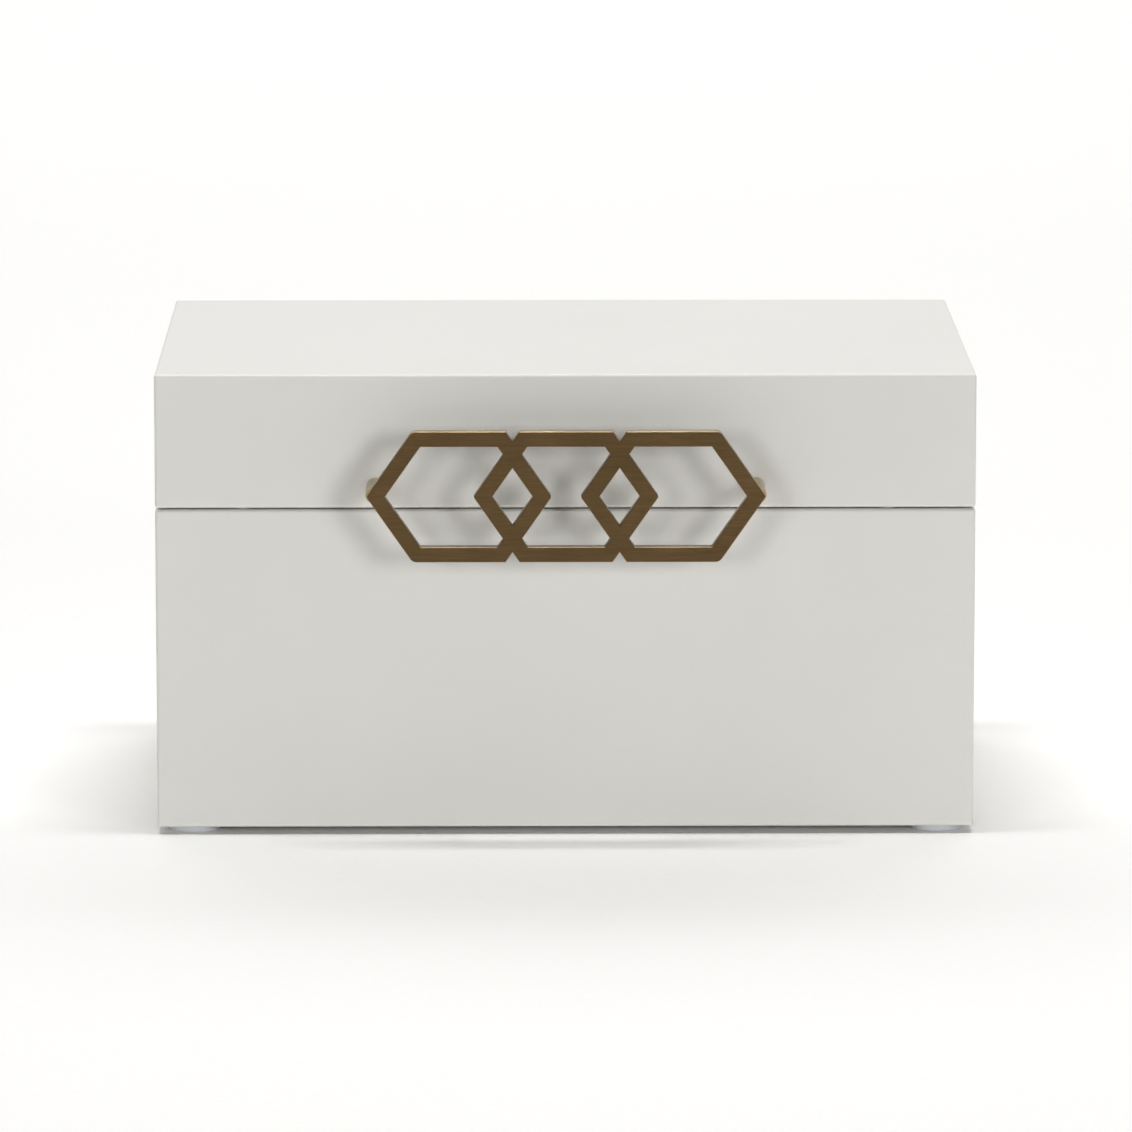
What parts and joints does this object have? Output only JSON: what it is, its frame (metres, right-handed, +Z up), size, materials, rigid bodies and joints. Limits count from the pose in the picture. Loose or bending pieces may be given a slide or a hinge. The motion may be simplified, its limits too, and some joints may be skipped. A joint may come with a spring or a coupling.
{
  "type": "jewellery chest",
  "caption": "Lidded rectangular jewellery chest in white lacquer, with a brass handle of linked hexagons, stop hinges, velvet lining and a divided tray that lifts out.",
  "frame": {"origin": "on the supporting surface, under the middle of the overall length and depth", "axes": "+Z up, +X to the right for someone facing the handle, -Y out of the front where the handle is"},
  "size_m": [0.28, 0.2206, 0.1594],
  "materials": {
    "white_lacquer": "satin white polyurethane lacquer on MDF",
    "antique_brass": "brushed, aged brass",
    "satin_brass": "satin brass",
    "zinc_steel": "zinc-plated steel",
    "silicone": "frosted soft silicone",
    "velvet_board": "board covered in short-pile velvet",
    "velvet_pad": "velvet over foam",
    "suede": "suede cloth over foam",
    "ribbon": "woven ribbon"
  },
  "bodies": {
    "base": {"base_front_panel": "white_lacquer", "base_right_panel": "white_lacquer", "base_back_panel": "white_lacquer", "base_left_panel": "white_lacquer", "base_bottom_panel": "white_lacquer", "foot_front_left": "silicone", "foot_front_right": "silicone", "foot_rear_left": "silicone", "foot_rear_right": "silicone", "base_floor_pad": "velvet_pad", "base_front_liner": "velvet_board", "base_right_liner": "velvet_board", "base_back_liner": "velvet_board", "base_left_liner": "velvet_board", "lid_bumper_left": "silicone", "lid_bumper_right": "silicone", "hinge_left_base_leaf": "satin_brass", "hinge_left_pin": "satin_brass", "hinge_left_base_screws": "satin_brass", "hinge_right_base_leaf": "satin_brass", "hinge_right_pin": "satin_brass", "hinge_right_base_screws": "satin_brass"},
    "lid": {"lid_top_panel": "white_lacquer", "lid_front_rail": "white_lacquer", "lid_right_rail": "white_lacquer", "lid_back_rail": "white_lacquer", "lid_left_rail": "white_lacquer", "lid_pad": "velvet_pad", "lid_front_liner": "velvet_board", "lid_right_liner": "velvet_board", "lid_back_liner": "velvet_board", "lid_left_liner": "velvet_board", "hinge_left_lid_leaf": "satin_brass", "hinge_left_lid_screws": "satin_brass", "hinge_right_lid_leaf": "satin_brass", "hinge_right_lid_screws": "satin_brass", "handle_frame": "antique_brass", "handle_post_left": "antique_brass", "handle_post_right": "antique_brass", "handle_screw_left": "zinc_steel", "handle_screw_right": "zinc_steel"},
    "tray": {"tray_floor": "velvet_board", "tray_front_wall": "velvet_board", "tray_back_wall": "velvet_board", "tray_left_wall": "velvet_board", "tray_right_wall": "velvet_board", "tray_long_divider": "velvet_board", "tray_ring_divider": "velvet_board", "tray_front_divider": "velvet_board", "tray_rear_divider_left": "velvet_board", "tray_rear_divider_right": "velvet_board", "ring_roll_1": "suede", "ring_roll_2": "suede", "ring_roll_3": "suede", "ring_roll_4": "suede", "ring_roll_5": "suede", "tray_pull_left": "ribbon", "tray_pull_right": "ribbon"}
  },
  "joints": [
    {"name": "lid_hinge", "type": "hinge", "parent": "base", "child": "lid", "pos_m": [0, 0.10643, 0.11315], "axis": [-1, 0, 0], "range_deg": [0, 100]},
    {"name": "tray_lift", "type": "slide", "parent": "base", "child": "tray", "axis": [0, 0, 1], "range_m": [0, 0.028]}
  ]
}
